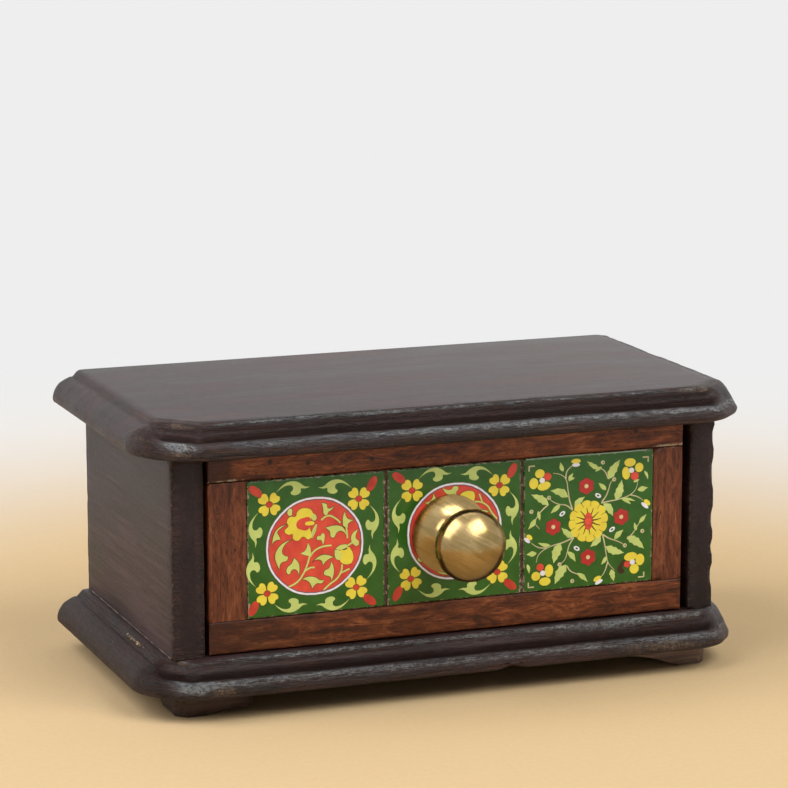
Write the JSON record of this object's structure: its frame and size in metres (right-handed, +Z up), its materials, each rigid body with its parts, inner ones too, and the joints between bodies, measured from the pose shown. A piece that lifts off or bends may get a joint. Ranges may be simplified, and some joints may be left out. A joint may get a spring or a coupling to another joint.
{
  "type": "tile-front trinket drawer box",
  "caption": "Small stained wooden box with moulded top and base boards, block feet and a drawer whose front frames floral tiles behind a turned brass knob.",
  "frame": {"origin": "under the middle of the whole box, knob included, on the surface it stands on", "axes": "+Z up, the drawer opens towards -Y, +X to the right as seen from the drawer"},
  "size_m": [0.229, 0.136, 0.1034],
  "materials": {
    "stained_carcass": "dark brown stain, waxed, worn on the mouldings",
    "stained_frame": "red-brown stain, waxed",
    "inner_wood": "plain sanded softwood",
    "glazed_tile": "glossy glaze with raised floral pattern",
    "grout": "dry stained filler",
    "knob_brass": "turned and satin-buffed",
    "screw_steel": "plain zinc-plated steel"
  },
  "bodies": {
    "carcass": {"top_board": "stained_carcass", "base_board": "stained_carcass", "side_left": "stained_carcass", "side_right": "stained_carcass", "back_panel": "stained_carcass", "foot_front_left": "stained_carcass", "foot_front_right": "stained_carcass", "foot_back_left": "stained_carcass", "foot_back_right": "stained_carcass", "base_screws": "screw_steel", "foot_screws": "screw_steel", "top_dowels": "inner_wood", "back_pins": "screw_steel"},
    "drawer": {"front_rail_top": "stained_frame", "front_rail_bottom": "stained_frame", "front_stile_left": "stained_frame", "front_stile_right": "stained_frame", "tile_left": "glazed_tile", "tile_middle": "glazed_tile", "tile_right": "glazed_tile", "tile_bed": "grout", "drawer_front_board": "inner_wood", "drawer_side_left": "inner_wood", "drawer_side_right": "inner_wood", "drawer_back": "inner_wood", "drawer_bottom_panel": "inner_wood", "drawer_pins": "screw_steel", "knob": "knob_brass", "knob_washer": "screw_steel", "knob_screw": "screw_steel"}
  },
  "joints": [
    {"name": "drawer_slide", "type": "slide", "parent": "carcass", "child": "drawer", "axis": [0, -1, 0], "range_m": [0, 0.075]}
  ]
}
